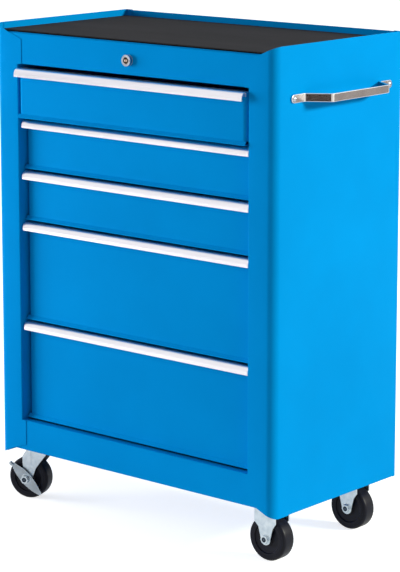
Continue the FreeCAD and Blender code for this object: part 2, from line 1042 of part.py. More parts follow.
lock_plug = new_body("lock_plug")
plug_front = head_front + S.plug_recess
collar_front = shank_back + S.slide_clear
collar_back = collar_front + S.collar_thick
turned(
    lock_plug,
    "plug",
    "YZ",
    0,
    0,
    lock_z,
    [
        (plug_front, 0),
        (plug_front, S.lock_plug / 2),
        (collar_front, S.lock_plug / 2),
        (collar_front, S.plug_collar / 2),
        (collar_back, S.plug_collar / 2),
        (collar_back, 0),
    ],
)
key_slot = box_points(
    -S.key_width / 2,
    lock_z - S.key_tall / 2,
    S.key_width / 2,
    lock_z + S.key_tall / 2,
)
cut(lock_plug, "key_slot", "XZ", [key_slot], plug_front - 1, plug_front + S.key_deep)


# Rod with a crank and pin at its rear end, drawn with the crank level and then turned down

crank_back = bar_front - S.slide_clear
crank_front = crank_back - S.crank_thick
lock_rod = new_body("lock_rod")
pad(lock_rod, "rod", "XZ", [(0, 0, S.rod_thick)], collar_back, crank_front)
crank_plate = box_points(
    -S.crank_half,
    -S.crank_half,
    S.crank_radius + S.crank_half,
    S.crank_half,
)
pad(lock_rod, "crank", "XZ", [crank_plate], crank_front, crank_back)
pad(
    lock_rod,
    "crank_pin",
    "XZ",
    [(S.crank_radius, 0, S.pin_thick)],
    crank_back,
    crank_back + S.pin_length,
)
place(lock_rod, z=lock_z, axis=FreeCAD.Vector(0, 1, 0), angle=S.crank_angle)


# Bracket under the top panel that carries the rear of the rod

rod_bracket = new_body("rod_bracket")
plate = S.slide_thick
bracket_back = crank_front - S.bracket_gap
bracket_low = lock_z - S.bracket_tail
bracket_line = [
    (bracket_back, bracket_low),
    (bracket_back, header_top),
    (bracket_back - S.bracket_foot, header_top),
    (bracket_back - S.bracket_foot, header_top - plate),
    (bracket_back - plate, header_top - plate),
    (bracket_back - plate, bracket_low),
]
pad(
    rod_bracket,
    "bracket_sheet",
    "YZ",
    [bracket_line],
    -S.bracket_width / 2,
    S.bracket_width / 2,
)
rod_hole = S.rod_thick + S.fit_gap * 2
cut(
    rod_bracket,
    "rod_hole",
    "XZ",
    [(0, lock_z, rod_hole)],
    bracket_back - plate - 1,
    bracket_back + 1,
)


# Lock bar: a flat strip with one hook for each drawer and a slot for the crank pin

bar_right = S.bar_left + S.bar_width
turn_cos = math.cos(math.radians(S.crank_angle.value))
turn_sin = math.sin(math.radians(S.crank_angle.value))
pin_z = lock_z - S.crank_radius * turn_sin
hook_tops = [top - S.catch_drop - S.hook_gap for top in tray_tops]
lock_bar = new_body("lock_bar")
pad(
    lock_bar,
    "bar_strip",
    "XZ",
    [
        box_points(
            S.bar_left, hook_tops[-1] - S.bar_tail, bar_right, pin_z + S.bar_head
        )
    ],
    bar_front,
    bar_back,
)
hooks = []
for hook_top in hook_tops:
    finger_right = bar_right + S.hook_reach
    finger_left = finger_right - S.hook_finger
    arm_low = hook_top - S.hook_tall
    hooks.append(
        [
            (bar_right - 1, arm_low),
            (finger_right, arm_low),
            (finger_right, hook_top),
            (finger_left, hook_top),
            (finger_left, arm_low + S.hook_arm),
            (bar_right - 1, arm_low + S.hook_arm),
        ]
    )
pad(lock_bar, "hooks", "XZ", hooks, bar_front, bar_back)
slack = S.pin_thick / 2 + S.pin_slack
slot = box_points(
    S.crank_radius * turn_cos - slack,
    pin_z - slack,
    S.crank_radius + slack,
    pin_z + slack,
)
cut(lock_bar, "pin_slot", "XZ", [slot], bar_front - 1, bar_back + 1)


# Guides that hold the bar to the back panel

lock_bar_guides = new_body("lock_bar_guides")
guide_left = S.bar_left - S.slide_clear - plate
guide_right = bar_right + S.slide_clear + plate
guide_front = bar_front - S.slide_clear - plate
guide_line = [
    (guide_left - S.guide_foot, rear),
    (guide_left - S.guide_foot, rear - plate),
    (guide_left, rear - plate),
    (guide_left, guide_front),
    (guide_right, guide_front),
    (guide_right, rear - plate),
    (guide_right + S.guide_foot, rear - plate),
    (guide_right + S.guide_foot, rear),
    (guide_right - plate, rear),
    (guide_right - plate, guide_front + plate),
    (guide_left + plate, guide_front + plate),
    (guide_left + plate, rear),
]
for word, middle in (
    ("upper", (hook_tops[0] + hook_tops[1]) / 2),
    ("lower", (hook_tops[3] + hook_tops[4]) / 2),
):
    low = middle - S.guide_tall / 2
    pad(lock_bar_guides, "guide_" + word, "XY", [guide_line], low, low + S.guide_tall)


# Side handle: a flat strap bent out from the right side panel

side_handle = new_body("side_handle")
strap = S.handle_thick
handle_x = half_width + S.handle_reach
leg_run = (S.handle_legs - S.handle_bar) / 2
lean = math.atan2(S.handle_reach.value - strap.value, leg_run.value)
miter = strap * math.tan(lean / 2)
strap_line = []
for sign in (-1, 1):
    length_end = S.handle_middle + S.handle_length / 2 * sign
    leg_end = S.handle_middle + S.handle_legs / 2 * sign
    bar_end = S.handle_middle + S.handle_bar / 2 * sign
    run = [
        (half_width, length_end),
        (half_width + strap, length_end),
        (half_width + strap, leg_end + miter * sign),
        (handle_x, bar_end),
    ]
    strap_line += run if sign < 0 else run[::-1]
inner_run = []
for sign in (1, -1):
    leg_end = S.handle_middle + S.handle_legs / 2 * sign
    bar_end = S.handle_middle + S.handle_bar / 2 * sign
    run = [(half_width, leg_end), (handle_x - strap, bar_end - miter * sign)]
    inner_run += run if sign > 0 else run[::-1]
strap_line += inner_run
handle_low = handle_z - S.handle_tall / 2
handle_high = handle_z + S.handle_tall / 2
pad(side_handle, "strap", "XY", [strap_line], handle_low, handle_high)


def upright_edge(edge):
    box = edge.BoundBox
    return box.ZLength > S.handle_tall.value * 0.9 and box.XLength + box.YLength < 0.01


def strap_end(edge):
    middle = (edge.BoundBox.YMin + edge.BoundBox.YMax) / 2
    return abs(abs(middle - S.handle_middle.value) - S.handle_length.value / 2) < 0.01


def strap_bend_outer(edge):
    box = edge.BoundBox
    outer = abs(box.XMin - handle_x.value) < 0.01
    return upright_edge(edge) and not strap_end(edge) and outer


def strap_bend_inner(edge):
    box = edge.BoundBox
    outer = abs(box.XMin - (handle_x - strap).value) < 0.01
    return upright_edge(edge) and not strap_end(edge) and outer


def strap_foot_bend(edge):
    box = edge.BoundBox
    outer = abs(box.XMin - (half_width + strap).value) < 0.01
    return upright_edge(edge) and not strap_end(edge) and outer


def strap_tip(edge):
    box = edge.BoundBox
    flat = box.ZLength < 0.01 and box.YLength < 0.01 and box.XLength > strap.value * 0.9
    return flat and strap_end(edge)


soften(side_handle, "strap_outer_bends", strap_bend_outer, S.handle_bend + strap)
soften(side_handle, "strap_inner_bends", strap_bend_inner, S.handle_bend)
soften(side_handle, "strap_foot_bends", strap_foot_bend, S.handle_bend)
soften(side_handle, "strap_tips", strap_tip, S.handle_tall * 0.48)

handle_screws = new_body("handle_screws")
screw_turn = turned(
    handle_screws,
    "screw",
    "XY",
    handle_z,
    0,
    screw_first,
    [
        (half_width + strap, 0),
        (half_width + strap, S.screw_head / 2),
        (half_width + strap + S.screw_dome, S.screw_head / 2 - 1),
        (half_width + strap + S.screw_dome, 0),
    ],
)
copies(handle_screws, "both_screws", [screw_turn], [("Y_Axis", S.handle_screws)])


# Casters, each drawn about its own upright line on the floor

axle_z = S.wheel_size / 2
fork_inner = S.wheel_width / 2 + S.fork_slack
fork_outer = fork_inner + S.fork_thick
wide_inner = fork_inner + S.fork_joggle
wide_outer = fork_outer + S.fork_joggle
plate_low = S.caster_height - S.plate_thick
race_low = plate_low - S.race_tall
crown_top = race_low - S.slide_clear
crown_low = crown_top - S.fork_thick
lever_inner = wide_outer + S.slide_clear
lever_outer = lever_inner + S.lever_thick
nut_side_lever = lever_outer + S.dish_rise + S.slide_clear


def plate_shapes():
    shapes = [
        box_points(
            -S.plate_long / 2,
            -S.plate_wide / 2,
            S.plate_long / 2,
            S.plate_wide / 2,
        )
    ]
    for u in (-1, 1):
        for v in (-1, 1):
            shapes.append(square(S.bolt_long / 2 * u, S.bolt_wide / 2 * v, bolt_hole))
    return shapes


def mounting_plate(name, x, y):
    """Swivel caster's plate with the upper race and the king pin."""
    body = new_body(name)
    pad(body, name + "_plate", "XY", plate_shapes(), plate_low, S.caster_height)
    head_top = crown_low - S.slide_clear
    turned(
        body,
        name + "_race",
        "XZ",
        0,
        0,
        0,
        [
            (0, head_top - 3),
            (S.pin_head / 2, head_top - 3),
            (S.pin_head / 2, head_top),
            (S.king_pin / 2, head_top),
            (S.king_pin / 2, race_low),
            (S.race_size / 2, race_low),
            (S.race_size / 2, plate_low + 1),
            (0, plate_low + 1),
        ],
        "V_Axis",
    )
    place(body, x=x, y=y)


def fork_ears(body, name, offset, heel, toe):
    """Two ears beside the wheel, tapering from the neck to rounded ends round the axle."""
    ear = [
        (heel, S.fork_neck),
        (offset - S.fork_end * 0.97, axle_z),
        (offset + S.fork_end * 0.97, axle_z),
        (toe, S.fork_neck),
    ]
    for sign, word in ((-1, "near"), (1, "far")):
        low = fork_inner if sign > 0 else -fork_outer
        high = fork_outer if sign > 0 else -fork_inner
        pad(body, name + "_ear_" + word, "XZ", [ear], low, high)
        end = [(offset, axle_z, S.fork_end * 2)]
        pad(body, name + "_end_" + word, "XZ", end, low, high)


def axle(body, name, offset, nut_from):
    """Bolt through the fork and wheel, with its nut on the +Y side."""
    shank = [(offset, axle_z, S.axle_thick)]
    nut_to = nut_from + S.axle_nut
    pad(body, name + "_shank", "XZ", [shank[0]], -fork_outer, nut_from)
    pad(
        body,
        name + "_head",
        "XZ",
        [hexagon(offset, axle_z, S.axle_flats)],
        -fork_outer - S.axle_head,
        -fork_outer,
    )
    pad(body, name + "_nut", "XZ", [hexagon(offset, axle_z, S.axle_flats)], nut_from, nut_to)


def swivel_fork(name, x, y, angle):
    """Fork pressed from one sheet, with a hole for the king pin, and its axle bolt."""
    body = new_body(name)
    inner = S.fork_bend - S.fork_thick
    arch = [
        (-fork_outer, S.fork_neck),
        (-wide_outer, S.fork_shoulder),
        (-wide_outer, crown_top, S.fork_bend),
        (wide_outer, crown_top, S.fork_bend),
        (wide_outer, S.fork_shoulder),
        (fork_outer, S.fork_neck),
        (fork_inner, S.fork_neck),
        (wide_inner, S.fork_shoulder),
        (wide_inner, crown_low, inner),
        (-wide_inner, crown_low, inner),
        (-wide_inner, S.fork_shoulder),
        (-fork_inner, S.fork_neck),
    ]
    pad(body, name + "_arch", "YZ", [arch], -S.swivel_heel, S.swivel_toe)
    heel_slope = [
        (-S.swivel_heel - 1, S.fork_neck - 1),
        (S.swivel_neck, S.fork_neck - 1),
        (S.swivel_neck, S.fork_neck),
        (-S.swivel_heel, S.fork_neck + S.swivel_rise),
        (-S.swivel_heel - 1, S.fork_neck + S.swivel_rise),
    ]
    toe_slope = [
        (S.swivel_toe + 1, crown_top - S.crown_drop),
        (S.swivel_toe, crown_top - S.crown_drop),
        (S.crown_toe, crown_top),
        (S.crown_toe, crown_top + 1),
        (S.swivel_toe + 1, crown_top + 1),
    ]
    cut(body, name + "_slopes", "XZ", [heel_slope, toe_slope], -wide_outer - 1, wide_outer + 1)
    groove = box_points(
        S.groove_place,
        S.fork_neck,
        S.groove_place + S.groove_wide,
        crown_top - S.fork_bend,
    )
    groove_floor = wide_outer - S.groove_deep
    cut(body, name + "_groove_far", "XZ", [groove], groove_floor, wide_outer + 1)
    cut(body, name + "_groove_near", "XZ", [groove], -wide_outer - 1, -groove_floor)
    fork_ears(body, name, S.trail, S.swivel_neck, S.swivel_toe)
    king_hole = S.king_pin + S.fit_gap * 2
    cut(body, name + "_king_hole", "XY", [(0, 0, king_hole)], crown_low - 1, crown_top + 1)
    axle(body, name, S.trail, nut_side_lever)
    place(body, x=x, y=y, axis=FreeCAD.Vector(0, 0, 1), angle=angle)


def rigid_fork(name, x, y):
    """Plate and fork of a caster that doesn't turn, and its axle bolt."""
    body = new_body(name)
    pad(body, name + "_plate", "XY", plate_shapes(), plate_low, S.caster_height)
    leg_top = plate_low + S.plate_thick / 2
    legs = []
    for side in (-1, 1):
        legs.append(
            [
                (fork_outer * side, S.fork_neck),
                (wide_outer * side, S.fork_shoulder),
                (wide_outer * side, leg_top),
                (wide_inner * side, leg_top),
                (wide_inner * side, S.fork_shoulder),
                (fork_inner * side, S.fork_neck),
            ]
        )
    pad(body, name + "_legs", "YZ", legs, -S.rigid_half, S.rigid_half)
    slopes = []
    for side in (-1, 1):
        slopes.append(
            [
                ((S.rigid_half + 1) * side, S.fork_neck - 1),
                (S.neck_half * side, S.fork_neck - 1),
                (S.neck_half * side, S.fork_neck),
                (S.rigid_half * side, S.fork_shoulder),
                ((S.rigid_half + 1) * side, S.fork_shoulder),
            ]
        )
    cut(body, name + "_slopes", "XZ", slopes, -wide_outer - 1, wide_outer + 1)
    fork_ears(body, name, as_size(0), -S.neck_half, S.neck_half)
    axle(body, name, as_size(0), fork_outer)
    place(body, x=x, y=y)


def wheel(name, offset, x, y, angle=None):
    body = new_body(name)
    radius = S.wheel_size / 2
    half = S.wheel_width / 2
    bore_radius = S.axle_thick / 2 + S.fit_gap
    turned(
        body,
        name + "_tyre",
        "YZ",
        offset,
        0,
        axle_z,
        [
            (-half, bore_radius),
            (-half, radius - S.wheel_shoulder),
            (-half + S.wheel_shoulder, radius),
            (half - S.wheel_shoulder, radius),
            (half, radius - S.wheel_shoulder),
            (half, bore_radius),
        ],
    )
    if angle is None:
        place(body, x=x, y=y)
    else:
        place(body, x=x, y=y, axis=FreeCAD.Vector(0, 0, 1), angle=angle)


def brake_lever(name, x, y, angle):
    """Lens-shaped lever on the axle, drawn level and then tipped up and swung with its fork."""
    body = new_body(name)
    sketch = new_sketch(body, name + "_sketch", "XZ", lever_outer)
    half_long = S.lever_length / 2
    half_end = S.lever_end / 2
    bulge = S.lever_width / 2 - half_end
    radius = (half_long * half_long + bulge * bulge) / (bulge * 2)
    drop = (S.lever_width / 2 - radius).value
    marks = [
        (-half_long, -half_end),
        (half_long, -half_end),
        (half_long, half_end),
        (-half_long, half_end),
    ]
    bends = [(radius, (0, -drop), 1), None, (radius, (0, drop), 1), None]
    chain(sketch, marks, bends)
    blade = body.newObject("PartDesign::Pad", name + "_blade")
    blade.Profile = sketch
    bind(blade, "Length", S.lever_thick)
    dish = [(0, 0, S.lever_dish)]
    dish_low = fork_outer + S.slide_clear
    pad(body, name + "_dish", "XZ", dish, dish_low, lever_outer + S.dish_rise)
    curl_back = half_long - 1
    curl_tip = half_long + S.curl_reach
    curl_top = lever_inner + S.curl_size
    curl_round = S.curl_size / 2
    hollow = curl_round - S.lever_thick
    curl = [
        (curl_back, lever_inner),
        (curl_tip, lever_inner, curl_round),
        (curl_tip, curl_top, curl_round),
        (curl_back - S.lever_thick, curl_top),
        (curl_back - S.lever_thick, curl_top - S.lever_thick),
        (curl_tip - S.lever_thick, curl_top - S.lever_thick, hollow),
        (curl_tip - S.lever_thick, lever_outer, hollow),
        (curl_back, lever_outer),
    ]
    pad(body, name + "_curl", "XY", [curl], -half_end, half_end)
    pin_hole = S.axle_thick + S.fit_gap * 2
    cut(
        body,
        name + "_hole",
        "XZ",
        [(0, 0, pin_hole)],
        dish_low - 1,
        lever_outer + S.dish_rise + 1,
    )
    swing = FreeCAD.Rotation(FreeCAD.Vector(0, 0, 1), as_size(angle).value)
    tip = FreeCAD.Rotation(FreeCAD.Vector(0, 1, 0), -S.lever_angle.value)
    centre = swing.multVec(FreeCAD.Vector(S.trail.value, 0, 0))
    body.Placement = FreeCAD.Placement(
        FreeCAD.Vector(x.value + centre.x, y.value + centre.y, axle_z.value),
        swing.multiply(tip),
    )


for end, y, angle in (
    ("front", -caster_y, S.swivel_front),
    ("rear", caster_y, S.swivel_rear),
):
    mounting_plate("caster_plate_%s_left" % end, -caster_x, y)
    swivel_fork("caster_fork_%s_left" % end, -caster_x, y, angle)
    wheel("wheel_%s_left" % end, S.trail, -caster_x, y, angle)
    brake_lever("brake_lever_%s_left" % end, -caster_x, y, angle)
    rigid_fork("caster_fork_%s_right" % end, caster_x, y)
    wheel("wheel_%s_right" % end, 0, caster_x, y)


# Bolts that clamp the caster plates to the base pan

caster_bolts = new_body("caster_bolts")
bolt_parts = [
    pad(
        caster_bolts,
        "bolt_head",
        "XY",
        [hexagon(bolt_x, bolt_y, S.bolt_flats)],
        plate_low - S.bolt_head,
        plate_low,
    ),
    pad(
        caster_bolts,
        "bolt_neck",
        "XY",
        [square(bolt_x, bolt_y, S.bolt_neck)],
        plate_low,
        pan_top,
    ),
    pad(
        caster_bolts,
        "bolt_nut",
        "XY",
        [hexagon(bolt_x, bolt_y, S.bolt_flats)],
        pan_top,
        pan_top + S.bolt_nut,
    ),
]
doc.recompute()
copies(caster_bolts, "all_bolts", bolt_parts, bolt_moves)


# Checks, then one file for each piece

doc.recompute()
problems = []
for thing in doc.Objects:
    if "Invalid" in thing.State or "Error" in thing.State:
        problems.append(thing.Name + " " + str(thing.State))
if problems:
    raise RuntimeError("; ".join(problems))
for feature in cuts:
    base = feature.BaseFeature
    if base is None or feature.Shape.Volume >= base.Shape.Volume - 1e-6:
        problems.append(feature.Name + " cuts nothing")
for node in nodes:
    if node.Shape.isNull() or not node.Shape.isValid() or node.Shape.Volume <= 0:
        problems.append(node.Label + " has no valid shape")
if problems:
    raise RuntimeError("; ".join(problems))
os.makedirs("parts", exist_ok=True)
for node in nodes:
    node.Shape.exportStep("parts/" + node.Label + ".step")
    print(node.Label, len(node.Shape.Solids), round(node.Shape.Volume, 1))
print(len(nodes), "pieces")
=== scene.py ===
import json
import math

import bmesh
import bpy
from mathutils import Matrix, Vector

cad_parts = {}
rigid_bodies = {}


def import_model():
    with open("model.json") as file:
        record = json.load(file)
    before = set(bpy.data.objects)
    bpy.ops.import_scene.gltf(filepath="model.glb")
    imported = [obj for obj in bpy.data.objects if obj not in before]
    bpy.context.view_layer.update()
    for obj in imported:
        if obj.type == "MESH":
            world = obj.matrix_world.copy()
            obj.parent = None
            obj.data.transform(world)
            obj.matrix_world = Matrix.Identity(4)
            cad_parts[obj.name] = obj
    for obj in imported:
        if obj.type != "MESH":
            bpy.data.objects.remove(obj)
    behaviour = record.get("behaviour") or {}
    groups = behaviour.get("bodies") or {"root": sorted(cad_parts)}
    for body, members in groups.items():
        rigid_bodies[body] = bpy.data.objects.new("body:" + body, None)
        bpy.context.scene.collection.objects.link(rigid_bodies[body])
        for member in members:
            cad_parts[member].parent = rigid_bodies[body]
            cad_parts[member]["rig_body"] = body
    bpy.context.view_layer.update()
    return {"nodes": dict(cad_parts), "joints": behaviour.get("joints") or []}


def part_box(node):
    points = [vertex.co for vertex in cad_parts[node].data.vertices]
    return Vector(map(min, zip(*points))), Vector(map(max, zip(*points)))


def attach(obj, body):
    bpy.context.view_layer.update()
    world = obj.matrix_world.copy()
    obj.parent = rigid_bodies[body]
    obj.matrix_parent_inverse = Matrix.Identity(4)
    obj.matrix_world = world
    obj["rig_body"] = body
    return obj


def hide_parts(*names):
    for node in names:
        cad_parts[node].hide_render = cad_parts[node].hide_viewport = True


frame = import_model()


# Painted body sheets
# The sides, header, base pan and tray-like top are 1 mm steel, folded and spot welded, then
# powder coated in one bright blue. The coat has a fine orange-peel skin and softens every edge.

MM = 0.001
PAINT_BLUE = "#008FDB"
PAINT_DEEP = "#0088D2"
PAINT_GLOSS = 0.01
SHEET_EDGE = 0.3 * MM
SAME_POINT = 0.002 * MM
SAME_PLANE = math.radians(0.5)


def linear(code):
    """The shader's colour for a colour written as a web code."""
    levels = [int(code[i : i + 2], 16) / 255 for i in (1, 3, 5)]
    return [c / 12.92 if c <= 0.04045 else ((c + 0.055) / 1.055) ** 2.4 for c in levels] + [1]


def new_material(name, roughness, metallic=0.0):
    """A plain material, with the roughness that it has where nothing varies it."""
    material = bpy.data.materials.new(name)
    material.use_nodes = True
    shader = material.node_tree.nodes["Principled BSDF"]
    shader.inputs["Roughness"].default_value = roughness
    shader.inputs["Metallic"].default_value = metallic
    return material, material.node_tree, shader


def grain(tree, scale, detail=2.0, stretch=(1, 1, 1)):
    """Noise over the piece in metres, drawn out along an axis by stretch."""
    place = tree.nodes.new("ShaderNodeTexCoord")
    mapping = tree.nodes.new("ShaderNodeMapping")
    mapping.inputs["Scale"].default_value = stretch
    noise = tree.nodes.new("ShaderNodeTexNoise")
    noise.inputs["Scale"].default_value = scale
    noise.inputs["Detail"].default_value = detail
    tree.links.new(place.outputs["Object"], mapping.inputs["Vector"])
    tree.links.new(mapping.outputs["Vector"], noise.inputs["Vector"])
    return noise.outputs["Fac"]


def shaded(tree, amount, *stops):
    """The colour for an amount, from stops that are each a place from 0 to 1 and a shade."""
    node = tree.nodes.new("ShaderNodeValToRGB")
    ramp = node.color_ramp
    while len(ramp.elements) < len(stops):
        ramp.elements.new(1.0)
    for element, (place, shade) in zip(ramp.elements, stops):
        element.position = place
        element.color = linear(shade)
    tree.links.new(amount, node.inputs["Fac"])
    return node.outputs["Color"]


def tint(tree, shader, amount, low, high):
    """Drifts the colour between two shades. Noise seldom leaves the range from 0.3 to 0.7."""
    colour = shaded(tree, amount, (0.3, low), (0.7, high))
    tree.links.new(colour, shader.inputs["Base Color"])
    return colour


def mapped(tree, amount, low, high, first=0.0, last=1.0):
    """Turns an amount from first to last into one from low to high."""
    span = tree.nodes.new("ShaderNodeMapRange")
    span.inputs["From Min"].default_value = first
    span.inputs["From Max"].default_value = last
    span.inputs["To Min"].default_value = low
    span.inputs["To Max"].default_value = high
    tree.links.new(amount, span.inputs["Value"])
    return span.outputs["Result"]


def wear(tree, shader, amount, low, high):
    """Drifts the roughness between two values."""
    tree.links.new(mapped(tree, amount, low, high), shader.inputs["Roughness"])


def relief(tree, shader, amount, depth, strength=1.0):
    """Bumps of the given depth in metres."""
    bump = tree.nodes.new("ShaderNodeBump")
    bump.inputs["Strength"].default_value = strength
    bump.inputs["Distance"].default_value = depth
    tree.links.new(amount, bump.inputs["Height"])
    tree.links.new(bump.outputs["Normal"], shader.inputs["Normal"])


def powder_coat(name, low, high):
    """A nearly matt coat that drifts a little in shade from place to place."""
    material, tree, shader = new_material(name, 0.4)
    shader.inputs["Specular IOR Level"].default_value = PAINT_GLOSS
    clouds = grain(tree, 5, 3)
    patches = grain(tree, 40, 4)
    orange_peel = grain(tree, 700, 2)
    tint(tree, shader, clouds, low, high)
    wear(tree, shader, patches, 0.32, 0.42)
    relief(tree, shader, orange_peel, 0.05 * MM)
    return material


def finish_edges(piece, edge, angle=35):
    """Eases the edges sharper than an angle in degrees, and keeps flat faces flat to the eye."""
    for polygon in piece.data.polygons:
        polygon.use_smooth = True
    bevel = piece.modifiers.new("eased_edges", "BEVEL")
    bevel.width = edge
    bevel.segments = 2
    bevel.limit_method = "ANGLE"
    bevel.angle_limit = math.radians(angle)
    bevel.harden_normals = True
    return piece


def link_piece(name, mesh, material, body, slot, *nodes):
    """Puts a mesh in the scene as a piece of a body, in place of the CAD nodes it stands for."""
    piece = bpy.data.objects.new(name, mesh)
    bpy.context.scene.collection.objects.link(piece)
    mesh.materials.clear()
    mesh.materials.append(material)
    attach(piece, body)
    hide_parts(*nodes)
    return piece


def body_of(node):
    return frame["nodes"][node]["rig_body"]


def merged_copy(node):
    """A CAD piece's surface as one closed mesh with its flat faces whole."""
    shape = bmesh.new()
    shape.from_mesh(frame["nodes"][node].data)
    bmesh.ops.remove_doubles(shape, verts=shape.verts, dist=SAME_POINT)
    bmesh.ops.dissolve_limit(
        shape, angle_limit=SAME_PLANE, verts=shape.verts, edges=shape.edges
    )
    shape.verts.index_update()
    corners = [v.co.copy() for v in shape.verts]
    faces = [[v.index for v in face.verts] for face in shape.faces]
    shape.free()
    mesh = bpy.data.meshes.new(node + "_surface")
    mesh.from_pydata(corners, [], faces)
    mesh.validate()
    return mesh


def dressed(node, material, slot, edge=SHEET_EDGE):
    """A CAD piece with its surface finish and its edges eased."""
    piece = link_piece(node + "_finished", merged_copy(node), material, body_of(node), slot, node)
    return finish_edges(piece, edge)


body_paint = powder_coat("blue_powder_coat", PAINT_DEEP, PAINT_BLUE)
for node in (
    "side_panel_left",
    "side_panel_right",
    "front_header",
    "base_pan",
    "top_panel",
    "back_panel",
    "rear_upright_left",
    "rear_upright_right",
):
    dressed(node, body_paint, "cabinet_blue")


# Mat on the top
# A thin black rubber sheet, cut to the tray and laid in loose. Its top is pebbled and dull, and
# the header's shadow on it is painted as a darker band along its front edge.

MAT_LOW = "#292A2E"
MAT_HIGH = "#323237"
MAT_SHADOW_PAINT = "#08090C"
MAT_GLOSS = 0.05
SHADOW_SOLID = 9 * MM
SHADOW_FADED = 15 * MM


def join_to(tree, value, socket):
    """Links another socket, or sets a plain value."""
    if isinstance(value, bpy.types.NodeSocket):
        tree.links.new(value, socket)
    else:
        socket.default_value = value


def mixed(tree, share, first, second, blend="MIX"):
    """A blend of two colours, by a share of the second from 0 to 1."""
    node = tree.nodes.new("ShaderNodeMix")
    node.data_type = "RGBA"
    node.blend_type = blend
    join_to(tree, share, node.inputs[0])
    join_to(tree, first, node.inputs[6])
    join_to(tree, second, node.inputs[7])
    return node.outputs[2]


mat_rubber, tree, shader = new_material("mat_rubber", 0.85)
shader.inputs["Specular IOR Level"].default_value = MAT_GLOSS
faded_streaks = grain(tree, 9, 4, (0.4, 1.6, 1))
pebbles = grain(tree, 1100, 3)
rubber = tint(tree, shader, faded_streaks, MAT_LOW, MAT_HIGH)
# Painted shadow: the colour goes dark along the mat's front edge, solid for 9 mm and faded out by
# 15 mm.
where = tree.nodes.new("ShaderNodeTexCoord")
parts = tree.nodes.new("ShaderNodeSeparateXYZ")
tree.links.new(where.outputs["Object"], parts.inputs[0])
mat_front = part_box("top_mat")[0][1]
beyond_shadow = mapped(
    tree, parts.outputs["Y"], 0.0, 1.0, mat_front + SHADOW_SOLID, mat_front + SHADOW_FADED
)
rubber_with_shadow = mixed(tree, beyond_shadow, linear(MAT_SHADOW_PAINT), rubber)
tree.links.new(rubber_with_shadow, shader.inputs["Base Color"])
relief(tree, shader, pebbles, 0.2 * MM, strength=0.8)
dressed("top_mat", mat_rubber, "mat_black", edge=0.4 * MM)


# Drawer fronts and trays
# Each front is a folded sheet with rolled side edges and a lip that flares out at the foot. The
# tray behind it is folded and welded, and both carry the same blue coat as the body.

for number in range(1, 6):
    dressed("drawer_%d_front" % number, body_paint, "cabinet_blue")
    dressed("drawer_%d_tray" % number, body_paint, "tray_blue")


# Slides
# Channels rolled from thin steel and zinc plated. The rails are fixed to the cabinet's jambs and
# rear uprights, and each runner, fixed to the side of a tray, slides in its rail.

ZINC_LOW = "#C3D0D9"
ZINC_HIGH = "#DCE5EB"
CHANNEL_EDGE = 0.2 * MM


def plated_zinc(name):
    material, tree, shader = new_material(name, 0.34, 1.0)
    spangle = grain(tree, 120, 3)
    smears = grain(tree, 300, 3)
    grit = grain(tree, 900, 2)
    tint(tree, shader, spangle, ZINC_LOW, ZINC_HIGH)
    wear(tree, shader, smears, 0.26, 0.42)
    relief(tree, shader, grit, 0.03 * MM)
    return material


zinc = plated_zinc("zinc_plate")
for number in range(1, 6):
    dressed("rail_pair_%d" % number, zinc, "zinc", CHANNEL_EDGE)
    dressed("drawer_%d_runners" % number, zinc, "zinc", CHANNEL_EDGE)


# Pulls
# Aluminium extrusions, anodised pale, with the die's fine lines along them. Each one hooks over
# the whole top edge of its drawer front.

ALUMINIUM_LOW = "#E4E2EA"
ALUMINIUM_HIGH = "#F3F1F7"


def drawn_aluminium(name):
    material, tree, shader = new_material(name, 0.3, 1.0)
    bands = grain(tree, 60, 2, (0.05, 1, 1))
    die_lines = grain(tree, 700, 3, (0.01, 1, 1))
    hair_lines = grain(tree, 1500, 2, (0.008, 1, 1))
    tint(tree, shader, bands, ALUMINIUM_LOW, ALUMINIUM_HIGH)
    wear(tree, shader, die_lines, 0.24, 0.36)
    relief(tree, shader, hair_lines, 0.02 * MM)
    return material


aluminium = drawn_aluminium("anodised_aluminium")
for number in range(1, 6):
    dressed("drawer_%d_pull" % number, aluminium, "pull_aluminium", edge=0.25 * MM)


# Lock
# A barrel turned from bar and chromed, pushed through the header and held by a thin nut. The
# brass plug in it turns a zinc plated rod, which lifts the bar that locks every drawer.

PLUG_FACE = 8 * MM
PLUG_HOLE = 6.15
HEAD_RADIUS = 9.75
HEAD_LONG = 8.0
FLANGE_RADIUS = 9.6
THREAD_CREST = 7.95
THREAD_ROOT = 7.5
THREAD_PITCH = 1.0
BARREL_STEPS = 96


def polished_chrome(name, high, low, roughness):
    material, tree, shader = new_material(name, roughness, 1.0)
    clouds = grain(tree, 30, 3)
    smears = grain(tree, 200, 4)
    tint(tree, shader, clouds, low, high)
    wear(tree, shader, smears, roughness * 0.8, roughness * 1.5)
    return material


def reach_from(tree, centre, axis):
    """How far a point of the piece lies from a line through the centre, in metres."""
    where = tree.nodes.new("ShaderNodeTexCoord")
    away = tree.nodes.new("ShaderNodeVectorMath")
    away.operation = "SUBTRACT"
    away.inputs[1].default_value = centre
    across = tree.nodes.new("ShaderNodeVectorMath")
    across.operation = "CROSS_PRODUCT"
    across.inputs[1].default_value = Vector(axis).normalized()
    reach = tree.nodes.new("ShaderNodeVectorMath")
    reach.operation = "LENGTH"
    tree.links.new(where.outputs["Object"], away.inputs[0])
    tree.links.new(away.outputs[0], across.inputs[0])
    tree.links.new(across.outputs[0], reach.inputs[0])
    return reach.outputs["Value"]


def rings(tree, reach, outer, *stops):
    """Colours ring by ring: each shade begins at its part of the outer radius."""
    return shaded(tree, mapped(tree, reach, 0.0, 1.0, 0.0, outer), *stops)


